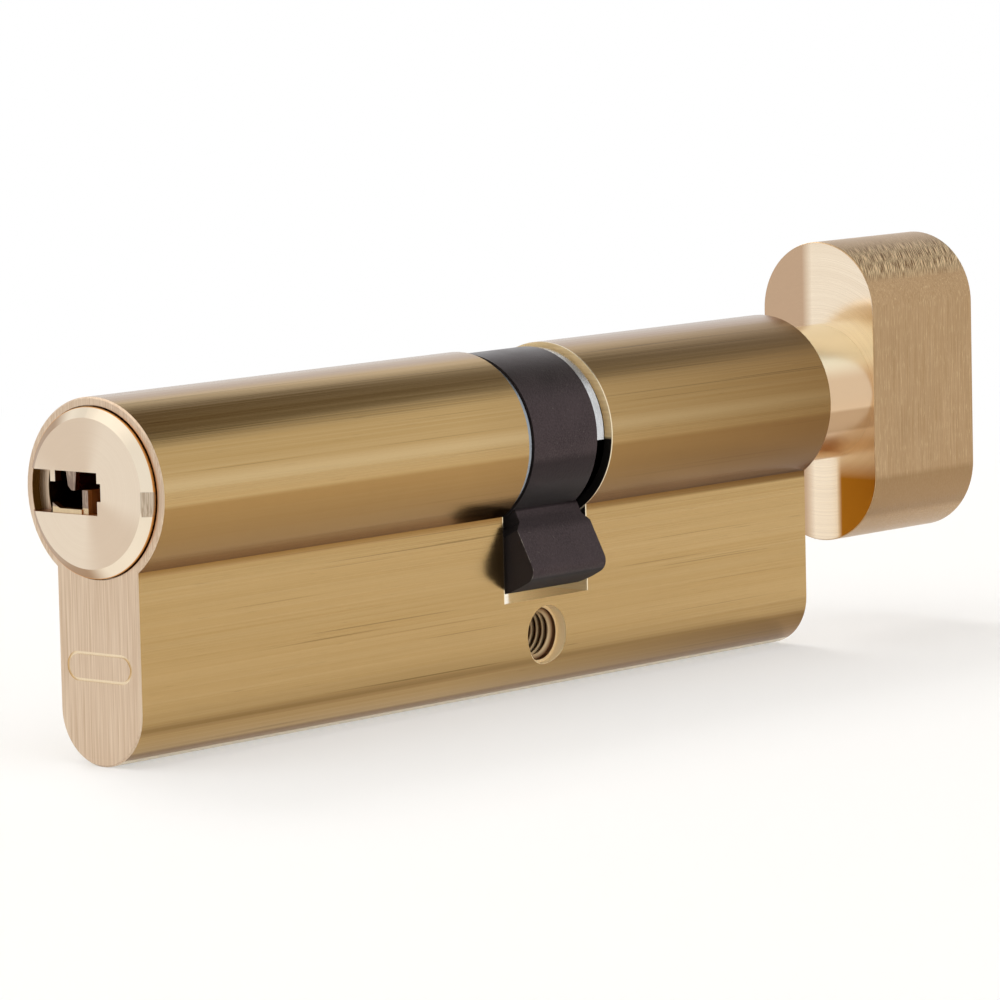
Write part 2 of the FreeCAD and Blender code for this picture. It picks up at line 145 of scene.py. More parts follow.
class Surface:
    """Node tree of one finish, with millimetre coordinates centred on the barrel axis."""

    def __init__(self, name: str) -> None:
        """Starts the material.

        Args:
            name: Name of the finish.
        """
        self.material = bpy.data.materials.new(name)
        self.material.use_nodes = True
        self.tree = self.material.node_tree
        self.tree.nodes.clear()
        coordinates = add_node(self.tree, "ShaderNodeTexCoord")
        placed = add_node(self.tree, "ShaderNodeMapping", {
            "Vector": coordinates.outputs["Object"],
            "Location": (0, 0, -AXIS_HEIGHT),
            "Scale": (1 / MM, 1 / MM, 1 / MM),
        })
        self.place = placed.outputs[0]
        self.x, self.y, self.z = add_node(self.tree, "ShaderNodeSeparateXYZ", {0: self.place}).outputs
        normal = add_node(self.tree, "ShaderNodeSeparateXYZ", {0: coordinates.outputs["Normal"]})
        self.normal_y, self.normal_z = normal.outputs[1], normal.outputs[2]
        across = add_node(self.tree, "ShaderNodeCombineXYZ", {"X": self.x, "Z": self.z}).outputs[0]
        reach = add_node(self.tree, "ShaderNodeVectorMath", {0: across}, operation="LENGTH")
        self.radius = reach.outputs["Value"]
        unit = add_node(self.tree, "ShaderNodeVectorMath", {0: across}, operation="NORMALIZE")
        self.spoke = unit.outputs[0]

    def within(self, value: Socket, low: float, high: float, soft: float) -> Socket:
        """Mask that is 1 where a value lies between two limits.

        Args:
            value: Output to test.
            low: Lower limit.
            high: Upper limit.
            soft: Half the width over which the mask fades at each limit.

        Returns:
            The mask.
        """
        rise = add_node(self.tree, "ShaderNodeMapRange", {
            "Value": value, "From Min": low - soft, "From Max": low + soft,
        })
        fall = add_node(self.tree, "ShaderNodeMapRange", {
            "Value": value, "From Min": high - soft, "From Max": high + soft, "To Min": 1.0, "To Max": 0.0,
        })
        return self.times(rise.outputs[0], fall.outputs[0])

    def times(self, *levels: Level) -> Socket:
        """Product of masks and numbers, which is where the masks overlap."""
        product = levels[0]
        for level in levels[1:]:
            joined = add_node(self.tree, "ShaderNodeMath", {0: product, 1: level}, operation="MULTIPLY")
            product = joined.outputs[0]
        return product

    def either(self, *masks: Socket) -> Socket:
        """Mask of all the places that one of several masks covers."""
        cover = masks[0]
        for mask in masks[1:]:
            joined = add_node(self.tree, "ShaderNodeMath", {0: cover, 1: mask}, operation="MAXIMUM")
            cover = joined.outputs[0]
        return cover

    def apart(self, value: Socket) -> Socket:
        """Distance from zero, the same on both sides of it."""
        return add_node(self.tree, "ShaderNodeMath", {0: value}, operation="ABSOLUTE").outputs[0]

    def blend(self, mask: Level, under: Shade, over: Shade, share: float = 1.0, **settings: Any) -> Socket:
        """Goes from one colour or number to another.

        Args:
            mask: Where the second one shows, from 0 to 1.
            under: First colour or number: an output, a hex colour or a bare number.
            over: Second one, of the same sort.
            share: How much of the second one shows where the mask is 1.
            settings: Other properties of the mixing node.

        Returns:
            The mixed colour or number.
        """
        mask = mask if share == 1.0 else self.times(mask, share)
        under, over = (srgb(end) if isinstance(end, str) else end for end in (under, over))
        plain = all(isinstance(end, float) or getattr(end, "type", None) == "VALUE" for end in (under, over))
        kind, first, result = ("FLOAT", 2, 0) if plain else ("RGBA", 6, 2)
        ends = {0: mask, first: under, first + 1: over}
        return add_node(self.tree, "ShaderNodeMix", ends, data_type=kind, **settings).outputs[result]

    def layers(self, base: Shade, *coats: tuple[Level, Shade, float]) -> Socket:
        """Lays colours or numbers over a base, one after another.

        Args:
            base: What shows where no mask is.
            coats: From the lowest up, each coat's mask, its colour or number, and how much of it shows.

        Returns:
            The colour or number with all its coats.
        """
        for mask, over, share in coats:
            base = self.blend(mask, base, over, share)
        return base

    def grain(self, place: Socket, low: float, high: float, detail: float,
              rough: float = 0.5, scale: float = 1.0) -> Socket:
        """Random grain, from 0 to 1.

        Args:
            place: Coordinates, stretched so that a grain is one unit long each way.
            low: Noise level that counts as 0.
            high: Noise level that counts as 1.
            detail: Octaves of finer grain.
            rough: Strength of each finer octave.
            scale: Grains to a unit.

        Returns:
            The grain's strength.
        """
        noise = add_node(self.tree, "ShaderNodeTexNoise", {
            "Vector": place, "Scale": scale, "Detail": detail, "Roughness": rough,
        })
        strength = add_node(self.tree, "ShaderNodeMapRange", {
            "Value": noise.outputs[0], "From Min": low, "From Max": high,
        })
        return strength.outputs[0]

    def marks(self, spacing: float, length: float, run: Run, low: float, high: float,
              detail: float = 2.0, seed: float = 0.0) -> Socket:
        """Drawn or brushed lines.

        Args:
            spacing: Distance between lines, in millimetres.
            length: Length of a line, in millimetres.
            run: Direction of the lines.
            low: Noise level that counts as 0.
            high: Noise level that counts as 1.
            detail: Octaves of finer lines.
            seed: Shift that makes one set of lines differ from another.

        Returns:
            Line strength from 0 to 1.
        """
        scale = {axis: 1 / spacing for axis in "xyz"}
        scale[run.value] = 1 / length
        stretched = add_node(self.tree, "ShaderNodeMapping", {
            "Vector": self.place,
            "Location": (seed, seed, seed),
            "Scale": (scale["x"], scale["y"], scale["z"]),
        })
        return self.grain(stretched.outputs[0], low, high, detail, rough=0.6)

    def rings(self, spacing: float, arc: float, low: float, high: float) -> Socket:
        """Turning marks round the barrel axis.

        Args:
            spacing: Distance between rings, in millimetres.
            arc: Length over which a ring stays the same, in radians.
            low: Noise level that counts as 0.
            high: Noise level that counts as 1.

        Returns:
            Ring strength from 0 to 1.
        """
        out = add_node(self.tree, "ShaderNodeMath", {0: self.radius, 1: self.y}, operation="ADD").outputs[0]
        step = add_node(self.tree, "ShaderNodeCombineXYZ", {"Y": self.times(out, 1 / spacing)})
        polar = add_node(self.tree, "ShaderNodeVectorMath", {
            0: self.spoke, 1: (1 / arc, 1 / arc, 1 / arc), 2: step.outputs[0],
        }, operation="MULTIPLY_ADD")
        return self.grain(polar.outputs[0], low, high, detail=2.0, rough=0.6)

    def scratches(self, along: Socket, around: Socket, width: float, length: float, tilt: float) -> Socket:
        """Short belt scratches on a rounded face.

        Args:
            along: Millimetres along the face's straight direction.
            around: Millimetres round its curve, the way the scratches run.
            width: Width of a scratch, in millimetres.
            length: Length of a scratch, in millimetres.
            tilt: How far a scratch drifts sideways for each millimetre of its length.

        Returns:
            Scratch strength from 0 to 1.
        """
        drift = add_node(self.tree, "ShaderNodeMath", {
            0: around, 1: tilt, 2: along,
        }, operation="MULTIPLY_ADD")
        flat = add_node(self.tree, "ShaderNodeCombineXYZ", {"X": drift.outputs[0], "Y": around})
        scaled = add_node(self.tree, "ShaderNodeVectorMath", {
            0: flat.outputs[0], 1: (1 / width, 1 / length, 1),
        }, operation="MULTIPLY")
        return self.grain(scaled.outputs[0], 0.44, 0.58, detail=2.0)

    def clouds(self, size: float, low: float, high: float, detail: float = 3.0) -> Socket:
        """Soft patches of the given size in millimetres, from 0 to 1."""
        return self.grain(self.place, low, high, detail, scale=1 / size)

    def towards(self, side: float, up: float, low: float, high: float) -> Socket:
        """Mask that grows round the barrel axis towards one direction.

        Args:
            side: Share of that direction along +X.
            up: Share of that direction along +Z.
            low: Cosine from that direction at which the mask starts.
            high: Cosine from that direction at which it is full.

        Returns:
            The mask.
        """
        match = add_node(self.tree, "ShaderNodeVectorMath", {
            0: self.spoke, 1: (side, 0, up),
        }, operation="DOT_PRODUCT")
        level = add_node(self.tree, "ShaderNodeMapRange", {
            "Value": match.outputs["Value"], "From Min": low, "From Max": high,
        }, interpolation_type="SMOOTHSTEP")
        return level.outputs[0]

    def metal(self, colour: Socket, roughness: Level, relief: Socket, depth: float,
              bare: Level = 1.0) -> bpy.types.Material:
        """Joins colour, roughness and relief in a metal shader.

        Args:
            colour: Base colour.
            roughness: Roughness, or the output that gives it.
            relief: Height of the tool marks, from 0 to 1.
            depth: Height of the deepest mark, in millimetres.
            bare: 1 for clean metal, less where a matt film lies on it.

        Returns:
            The finished material.
        """
        bump = add_node(self.tree, "ShaderNodeBump", {
            "Height": relief, "Distance": depth * MM, "Strength": 1.0,
        })
        shader = add_node(self.tree, "ShaderNodeBsdfPrincipled", {
            "Base Color": colour, "Metallic": bare, "Roughness": roughness, "Normal": bump.outputs[0],
        })
        add_node(self.tree, "ShaderNodeOutputMaterial", {"Surface": shader.outputs[0]})
        return self.material


# ---------------------------------------------------------------- finishes
# Spacings are in millimetres. A 120 grit belt leaves strokes about 0.1 mm wide, as here. The die's lines and
# the turned rings are really about 0.03 mm apart, too fine to show, so they are drawn two to four times as
# coarse. Heights are counted up from the barrel axis, and lengths from the fixing hole towards the knob.
@dataclass(frozen=True)
class DrawnBrass:
    """Leaded brass bar, drawn to the profile, polished lengthwise and brushed across its sawn ends.

    The die leaves fine lengthwise lines and a few scores, and milling leaves the gap pale. A painted highlight
    runs along the gap's edges and a painted reflection along the foot's lowest line. Painted shade also lies
    on the sides, the inner walls, the thread's roots and the gap wall by the cam's nose, and a painted
    highlight on the rear end face and the engraving.
    """

    gold: str = "#c09f6b"
    gold_light: str = "#ceb282"
    gold_deep: str = "#b4935e"
    painted_under_shade: str = "#a17b47"
    painted_top_reflection: str = "#a98e77"
    painted_foot_shade: str = "#85602f"
    painted_crease_shade: str = "#8a5f28"
    painted_shade_tint: str = "#beb19e"
    score: str = "#6a5028"
    cut_and_painted_highlight: str = "#fff0d0"
    end_pale: str = "#e4cfb7"
    end_deep: str = "#c8ad92"
    painted_end_highlight: str = "#fbe9c8"
    milled: str = "#f7e0b2"
    mouth: str = "#fbe4b8"
    painted_shadow: str = "#0d0805"
    painted_bore_shade: str = "#4a3512"
    thread_crest: str = "#c2a882"
    painted_root_shade: str = "#745338"

    half_gap: float = 6.0
    half_pillar: float = 5.0
    barrel_radius: float = 8.5
    bore_radius: float = 6.6
    recess_radius: float = 7.9
    recess_end: float = 54.95
    turn_end_face: float = 39.9
    thread_radius: float = 2.52
    thread_band: Band = (2.2, 2.45)
    mouth_radius: float = 2.85
    mouth_half_depth: float = 4.93
    barrel_band: Band = (8.2, 9.0)
    top_from: float = 8.1
    painted_highlight_band: Band = (0.4, 1.4)
    under_band: Band = (-7.2, -0.95)
    crease_shade_band: Band = (-7.4, -6.0)
    nose_band: Band = (-9.0, -0.35)
    pillar_band: Band = (-15.15, -6.9)
    gap_floor_band: Band = (-15.4, -15.1)
    foot_shade_band: Band = (-21.4, -20.7)
    foot_shade_below: float = -20.9
    shade_band: Band = (-23.85, -23.15)
    painted_strip_below: float = -23.8
    shade_ramp_band: Band = (-15.0, 40.0)
    engraving_depth: Band = (-54.95, -54.8)
    engraving_height: Band = (-18.0, -13.0)
    engraving_half_width: float = 4.6

    def side(self, s: Surface, lines: Socket) -> Socket:
        """Colour of the drawn sides, with painted shade towards the knob, under the barrel, where it joins the
        pillar and at the foot, and a painted highlight along the barrel's middle and painted reflections on
        its top and along the foot's lowest line.

        Args:
            s: Node tree of the finish.
            lines: Strength of the drawn lines.

        Returns:
            The colour output.
        """
        bands = s.marks(3.0, 400.0, Run.LENGTHWISE, 0.38, 0.62, detail=1.0)
        scores = s.marks(0.2, 50.0, Run.LENGTHWISE, 0.69, 0.73, detail=1.0, seed=31.0)
        dashes = s.marks(0.12, 5.0, Run.LENGTHWISE, 0.68, 0.78, seed=12.0)
        barrel = s.within(s.radius, *self.barrel_band, 0.1)
        colour = s.layers(
            s.blend(bands, self.gold_deep, self.gold, 0.7),
            (lines, self.gold_light, 0.4),
            (scores, self.score, 0.45),
            (dashes, self.score, 0.35),
            # painted shade: the barrel's underside is darker
            (s.times(s.within(s.z, *self.under_band, 0.2), barrel), self.painted_under_shade, 0.75),
            # painted highlight: a lighter band along the barrel's middle
            (s.times(s.within(s.z, *self.painted_highlight_band, 0.35), barrel), self.gold_light, 0.8),
            # painted shade where the barrel joins the pillar
            (s.times(s.within(s.z, *self.crease_shade_band, 0.5), barrel), self.painted_crease_shade, 0.5),
        )
        # painted shade: the barrel and the foot darken towards the knob, and a band at the foot darkens all
        # along
        start, full = self.shade_ramp_band
        to_turn = add_node(s.tree, "ShaderNodeMapRange", {
            "Value": s.y, "From Min": start, "From Max": full,
        }).outputs[0]
        painted_dulling = s.either(
            s.times(to_turn, barrel),
            s.times(s.within(s.z, *self.foot_shade_band, 0.25), 0.55),
            s.times(to_turn, s.within(s.z, -FAR, self.foot_shade_below, 0.3)),
        )
        return s.layers(
            s.blend(painted_dulling, colour, self.painted_shade_tint, blend_type="MULTIPLY"),
            # painted reflection: the barrel's top is greyer
            (s.within(s.z, self.top_from, FAR, 0.15), self.painted_top_reflection, 0.8),
            # painted shade in a line above the foot's lowest strip
            (s.within(s.z, *self.shade_band, 0.12), self.painted_foot_shade, 0.8),
            # painted reflection: the foot's lowest strip is pale
            (s.within(s.z, -FAR, self.painted_strip_below, 0.04), self.cut_and_painted_highlight, 1.0),
        )

    def on_outline(self, s: Surface) -> Socket:
        """Mask of the outer surface: the barrel's round and the pillar's sides."""
        barrel = s.within(s.radius, self.barrel_radius - 0.03, self.barrel_radius + 0.1, 0.01)
        flank = s.within(s.apart(s.x), self.half_pillar - 0.03, self.half_pillar + 0.1, 0.01)
        return s.either(barrel, s.times(flank, s.within(s.z, *self.pillar_band, 0.01)))

    def gap_edge(self, s: Surface) -> Socket:
        """Mask of the painted highlight along the edges where the gap meets the outline."""
        past = s.within(s.y, self.half_gap - 0.02, self.half_gap + 0.14, 0.02)
        before = s.times(s.within(s.y, -self.half_gap - 0.09, 0.02 - self.half_gap, 0.02),
                         s.within(s.z, -FAR, -6.8, 0.1))
        return s.times(s.either(past, before), self.on_outline(s))

    def build(self) -> bpy.types.Material:
        """Makes the material of the profile body, its stoppers and its thread."""
        s = Surface("brass_drawn_and_polished")
        lines = s.marks(0.12, 60.0, Run.LENGTHWISE, 0.3, 0.7, seed=7.0)
        strokes = s.marks(0.14, 9.0, Run.UPRIGHT, 0.28, 0.72, seed=3.0)
        cutter = s.marks(0.3, 6.0, Run.CROSSWISE, 0.3, 0.7, seed=11.0)
        end = s.blend(strokes, self.end_deep, self.end_pale)
        # painted highlight: the rear end face is a paler copy of the end finish
        end = s.blend(s.within(s.y, self.turn_end_face, FAR, 0.02), end, self.painted_end_highlight, 0.75)

        along, facing_along = s.apart(s.y), s.apart(s.normal_y)
        across = s.within(facing_along, 0.5, 2.0, 0.05)
        in_gap = s.within(along, -1.0, self.half_gap + 0.02, 0.01)
        gap_floor = s.times(in_gap, s.within(s.z, *self.gap_floor_band, 0.02),
                            s.within(s.normal_z, 0.5, 2.0, 0.05))
        gap_wall = s.times(in_gap, across)
        # painted shadow of the cam's nose on the gap wall
        nose_shadow = s.times(gap_wall, s.within(s.z, *self.nose_band, 0.15))
        in_bore = s.within(s.radius, -1.0, self.bore_radius, 0.02)
        in_recess = s.times(s.within(s.radius, self.bore_radius, self.recess_radius, 0.01),
                            s.within(along, self.half_gap + 0.05, self.recess_end, 0.02))
        recess_wall = s.times(in_recess, s.within(facing_along, -1.0, 0.5, 0.05))

        yz = add_node(s.tree, "ShaderNodeCombineXYZ", {"Y": s.y, "Z": s.z})
        from_hole = add_node(s.tree, "ShaderNodeVectorMath", {
            0: yz.outputs[0], 1: (0, 0, -AXIS_HEIGHT),
        }, operation="DISTANCE").outputs["Value"]
        crest, valley = self.thread_band
        root = add_node(s.tree, "ShaderNodeMapRange", {
            "Value": from_hole, "From Min": crest, "From Max": valley,
        }).outputs[0]
        in_hole = s.within(from_hole, -1.0, self.thread_radius, 0.01)
        in_mouth = s.times(s.within(from_hole, self.thread_radius, self.mouth_radius, 0.02),
                           s.within(s.x, -self.mouth_half_depth, self.mouth_half_depth, 0.02))
        engraved = s.times(s.within(s.y, *self.engraving_depth, 0.01),
                           s.within(s.z, *self.engraving_height, 0.1),
                           s.within(s.x, -self.engraving_half_width, self.engraving_half_width, 0.1))

        colour = s.layers(
            s.blend(across, self.side(s, lines), end),
            # painted shade in the barrel's hole and in the recess beside the gap
            (in_bore, self.painted_bore_shade, 1.0),
            (recess_wall, self.painted_bore_shade, 1.0),
            (gap_wall, s.blend(cutter, self.milled, self.gold, 0.4), 1.0),
            (nose_shadow, self.painted_shadow, 1.0),
            (gap_floor, s.blend(cutter, self.cut_and_painted_highlight, self.milled, 0.5), 1.0),
            # painted highlight along the gap's edges
            (self.gap_edge(s), self.cut_and_painted_highlight, 0.85),
            # painted shade in the thread's roots
            (in_hole, s.blend(root, self.thread_crest, self.painted_root_shade), 1.0),
            (in_mouth, self.mouth, 1.0),
            # painted highlight: the engraving is lighter
            (engraved, self.painted_end_highlight, 0.7),
        )
        roughness = s.layers(
            s.blend(lines, 0.17, 0.24),
            (across, 0.38, 1.0),
            (gap_wall, 0.6, 1.0),
            (gap_floor, 0.16, 1.0),
            (in_hole, 0.32, 1.0),
            (in_mouth, 0.7, 1.0),
        )
        waves = s.marks(0.8, 55.0, Run.LENGTHWISE, 0.3, 0.7, detail=1.0, seed=19.0)
        drawn = add_node(s.tree, "ShaderNodeMath", {
            0: waves, 1: 1.6, 2: s.times(lines, 0.6),
        }, operation="MULTIPLY_ADD").outputs[0]
        painted_strip = s.within(s.z, -FAR, self.painted_strip_below, 0.04)
        matt = s.either(s.times(gap_wall, 0.6), s.times(painted_strip, 0.8), in_mouth)
        return s.metal(colour, roughness, s.blend(across, drawn, strokes), 0.005, s.blend(matt, 1.0, 0.15))


@dataclass(frozen=True)
class SatinTurnedBrass:
    """Brass turned to a satin face, as on the plug: fine rings, pale champagne, painted shade down in the
    keyway.

    The broached keyway is bright only at its mouth; a small index flat is filed across the bevel. The face has
    a painted sheen, the bevel painted shade on its left side and the shaft a painted shadow by the cam.
    """

    face_pale: str = "#ecdcc7"
    face_deep: str = "#d3bba2"
    bevel: str = "#f1e3cd"
    bevel_painted_shade: str = "#ad8e70"
    shaft: str = "#dcbd82"
    rim: str = "#d79a55"
    index_flat: str = "#a8927b"
    ward: str = "#8a776b"
    ward_rubbed: str = "#cdb8a2"
    keyway_floor: str = "#e6cda4"
    keyway_mouth: str = "#a5662f"
    keyway_deep_shade: str = "#9a5526"
    painted_shadow: str = "#0d0805"

    key_front: float = -56.0
    face_radius: float = 6.73
    flange_radius: float = 7.6
    flange_end: float = -50.0
    half_keyway: float = 1.92
    keyway_side: float = 1.8
    keyway_end: float = -10.0
    keyway_low: float = -1.35
    index_band: Band = (-1.7, 0.5)
    cam_shadow_band: Band = (3.9, 7.0)
    cam_shadow_below: float = -0.35

    def keyway(self, s: Surface, colour: Socket) -> tuple[Socket, Socket]:
        """Paints shade on the keyway's walls, deeper further in, and greys its wards' ends.

        Args:
            s: Node tree of the finish.
            colour: Colour of the plug outside its keyway.

        Returns:
            Colour with the keyway in it, and the mask of its tarnished closed side.
        """
        slot = s.times(s.within(s.z, -self.half_keyway, self.half_keyway, 0.01),
                       s.within(s.x, -FAR, self.keyway_side, 0.01))
        depth = add_node(s.tree, "ShaderNodeMapRange", {
            "Value": s.y, "From Min": self.key_front + 0.2, "From Max": self.key_front + 3.2,
        }, interpolation_type="SMOOTHSTEP").outputs[0]
        inside = s.times(slot, s.within(s.y, self.key_front + 0.04, self.keyway_end, 0.01))
        ends = s.times(slot, s.within(s.y, self.key_front + 0.1, self.key_front + 0.5, 0.02),
                       s.within(s.normal_y, -2.0, -0.9, 0.02))
        rubbed = s.marks(0.12, 1.2, Run.UPRIGHT, 0.5, 0.7, seed=2.0)
        low = s.within(s.z, -self.half_keyway, self.keyway_low, 0.05)
        end = s.layers(s.blend(rubbed, self.ward, self.ward_rubbed, 0.7), (low, self.keyway_floor, 0.8))
        # painted shade: the keyway's walls are brown and darker with depth
        wall = s.blend(depth, self.keyway_mouth, self.keyway_deep_shade)
        colour = s.layers(colour, (inside, wall, 1.0), (ends, end, 1.0))
        return colour, s.times(inside, s.within(s.x, -0.5, 9.0, 0.5))

    def build(self) -> bpy.types.Material:
        """Makes the material of the plug and the thumbturn shaft."""
        s = Surface("brass_turned_satin")
        fine = s.rings(0.08, 2.5, 0.25, 0.75)
        # painted sheen: two sectors of the face are darker, as a turned face reflects light
        upper_left = s.towards(-0.5, 0.866, 0.55, 0.95)
        lower_right = s.towards(0.6, -0.8, 0.7, 0.98)
        sheen = add_node(s.tree, "ShaderNodeMath", {
            0: upper_left, 1: lower_right,
        }, operation="ADD").outputs[0]
        face = s.blend(fine, self.face_pale, self.face_deep, 0.2)
        face = s.blend(sheen, face, self.face_deep, 0.6)
        # painted shade on the bevel's left side
        bevel = s.blend(s.towards(-0.96, -0.28, -0.05, 0.35), self.bevel, self.bevel_painted_shade)

        on_front = s.within(s.y, self.key_front - 1.0, self.key_front + 0.8, 0.02)
        beyond_face = s.within(s.radius, self.face_radius, FAR, 0.01)
        on_rim = s.times(s.within(s.radius, self.flange_radius, FAR, 0.01),
                         s.within(s.y, -FAR, self.flange_end, 0.1))
        flat_lines = s.marks(0.12, 5.0, Run.UPRIGHT, 0.4, 0.6, seed=4.0)
        index_flat = s.times(s.within(s.z, *self.index_band, 0.03),
                             s.within(s.x, self.face_radius - 0.1, FAR, 0.02),
                             on_front, s.blend(flat_lines, 0.45, 0.95))
        # painted shadow of the cam on the shaft
        cam_shadow = s.times(s.within(s.y, *self.cam_shadow_band, 0.05), s.within(s.z, -FAR, self.cam_shadow_below, 0.1))
        colour = s.layers(
            self.shaft,
            (on_front, face, 1.0),
            (s.times(on_front, beyond_face), bevel, 1.0),
            (on_rim, self.rim, 1.0),
            (index_flat, self.index_flat, 1.0),
        )
        colour, tarnished = self.keyway(s, colour)
        colour = s.blend(cam_shadow, colour, self.painted_shadow)
        roughness = s.blend(on_front, 0.22, 0.36)
        return s.metal(colour, roughness, fine, 0.002, s.blend(tarnished, 1.0, 0.3))


@dataclass(frozen=True)
class BrushedKnobBrass:
    """Brass knob: sides brushed upright, rounds scratched by the belt, inner face and neck turned smooth."""

    side: str = "#b5936a"
    side_pale: str = "#cbac86"
    side_deep: str = "#9b7b54"
    scratch_pale: str = "#f6dbae"
    scratch_deep: str = "#7d5b33"
    face_pale: str = "#f5e5cd"
    face_deep: str = "#c0a285"
    painted_face_reflection: str = "#a66f20"
    painted_neck_highlight: str = "#fff2d2"
    neck: str = "#dfc09c"
    neck_shade: str = "#a9835a"

    round_centre: float = 8.15
    round_radius: float = 7.0
    knob_start: float = 48.95
    scratched_rise: Band = (3.5, 6.3)
    lower_shade_band: Band = (-12.5, -8.45)
    reflection_split_from: float = -1.4
    reflection_below: float = -7.3
    reflection_from: float = 2.3
    neck_shade_band: Band = (-3.4, -1.2)

    def sides(self, s: Surface, brush: Socket) -> Socket:
        """Colour of the brushed sides, with painted shade on the lower round.

        Args:
            s: Node tree of the finish.
            brush: Strength of the upright brushing.

        Returns:
            The colour output.
        """
        long_brush = s.marks(0.09, 7.0, Run.UPRIGHT, 0.42, 0.6, seed=23.0)
        flecks = s.marks(0.07, 1.6, Run.UPRIGHT, 0.6, 0.7, seed=41.0)
        # painted shade on the lower round
        lower_round_shade = s.times(s.within(s.z, *self.lower_shade_band, 0.3),
                              s.within(s.normal_y, -0.5, 0.5, 0.05))
        return s.layers(
            s.blend(brush, self.side, self.side_pale, 0.7),
            (long_brush, self.side_deep, 0.4),
            (flecks, self.scratch_pale, 0.6),
            (s.clouds(5.0, 0.35, 0.65), self.side_deep, 0.15),
            (lower_round_shade, self.side_deep, 0.75),
        )

    def belt_scratches(self, s: Surface) -> Socket:
        """Strength of the scratches, which run round the knob's two round ends."""
        rise = add_node(s.tree, "ShaderNodeMath", {
            0: s.apart(s.z), 1: self.round_centre,
        }, operation="SUBTRACT").outputs[0]
        angle = add_node(s.tree, "ShaderNodeMath", {0: s.x, 1: rise}, operation="ARCTAN2").outputs[0]
        return s.scratches(s.y, s.times(angle, self.round_radius), 0.085, 1.4, 0.5)

    def build(self) -> bpy.types.Material:
        """Makes the material of the knob and its neck."""
        s = Surface("brass_brushed_knob")
        brush = s.marks(0.09, 5.0, Run.UPRIGHT, 0.32, 0.68)
        rings = s.rings(0.07, 1.5, 0.3, 0.7)
        scratches = self.belt_scratches(s)
        turned_face = s.times(s.within(s.normal_y, -2.0, -0.9, 0.03),
                              s.within(s.y, self.knob_start - 0.1, self.knob_start + 0.3, 0.02))
        on_neck = s.within(s.y, -FAR, self.knob_start - 0.01, 0.005)
        low, high = (self.round_centre + rise for rise in self.scratched_rise)
        scratched = s.times(s.within(s.apart(s.z), low, high, 0.5),
                            s.within(s.y, self.knob_start + 0.2, FAR, 0.1),
                            s.within(s.normal_y, -0.5, 0.5, 0.05))

        # painted reflections: the inner face is paler right of a line and amber at its lower right
        face = s.layers(
            s.blend(s.within(s.x, self.reflection_split_from, FAR, 0.6), self.face_deep, self.face_pale),
            (rings, self.face_deep, 0.25),
            (s.times(s.within(s.z, -FAR, self.reflection_below, 1.4), s.within(s.x, self.reflection_from, FAR, 0.3)),
             self.painted_face_reflection, 1.0),
        )
        # painted highlight on the neck's top and painted shade in a band below it
        neck = s.layers(
            s.blend(s.towards(0.0, 1.0, 0.25, 0.6), self.neck, self.painted_neck_highlight),
            (s.within(s.z, *self.neck_shade_band, 0.15), self.neck_shade, 0.6),
        )
        colour = s.layers(
            self.sides(s, brush),
            (turned_face, face, 1.0),
            (on_neck, neck, 1.0),
            (s.times(scratched, s.within(s.z, 0.0, FAR, 0.1)),
             s.blend(scratches, self.scratch_deep, self.scratch_pale), 0.95),
        )
        relief = s.layers(
            brush,
            (turned_face, s.times(rings, 0.25), 1.0),
            (on_neck, s.times(rings, 0.4), 1.0),
            (scratched, s.times(scratches, 2.5), 1.0),
        )
        roughness = s.layers(s.blend(on_neck, 0.34, 0.3), (turned_face, 0.14, 1.0))
        return s.metal(colour, roughness, relief, 0.006)


@dataclass(frozen=True)
class BurnishedSteel:
    """Sintered steel, burnished dark brown-black: fine grain, a soft sheen and a bare burr along the nose."""

    dark: str = "#3a3132"
    worn: str = "#544849"
    shaded: str = "#1d1617"
    burr: str = "#9c9488"

    nose_start: float = -5.4
    ring_radius: float = 8.4
    under_band: Band = (-8.0, -1.6)
    crease_band: Band = (-8.3, -6.9)

    def build(self) -> bpy.types.Material:
        """Makes the material of the cam."""
        s = Surface("steel_burnished_dark")
        patches = s.clouds(3.5, 0.3, 0.7, detail=2.0)
        grain = s.clouds(0.16, 0.35, 0.65, detail=2.0)
        specks = s.clouds(0.3, 0.68, 0.76, detail=2.0)
        breaks = s.clouds(0.7, 0.45, 0.6, detail=2.0)
        burr = s.times(s.within(s.y, self.nose_start - 0.1, self.nose_start + 0.07, 0.03),
                       s.within(s.normal_y, -0.5, 2.0, 0.05), breaks)
        under = s.times(s.within(s.z, *self.under_band, 0.35),
                        s.within(s.radius, -1.0, self.ring_radius, 0.05))
        hidden = s.either(s.within(s.normal_y, -2.0, -0.6, 0.05), s.within(s.normal_z, -2.0, -0.55, 0.1))
        colour = s.layers(
            s.blend(grain, self.dark, self.worn, 0.5),
            (patches, self.worn, 0.35),
            (specks, self.burr, 0.15),
            (burr, self.burr, 0.8),
            # painted shade under the ring, where the nose meets the ring and on faces that look forward or
            # down
            (under, self.shaded, 0.6),
            (s.within(s.z, *self.crease_band, 0.35), self.shaded, 0.5),
            (hidden, self.shaded, 0.85),
        )
        roughness = s.blend(hidden, s.blend(patches, 0.28, 0.37), 0.7)
        return s.metal(colour, roughness, grain, 0.006, s.blend(hidden, 1.0, 0.2))


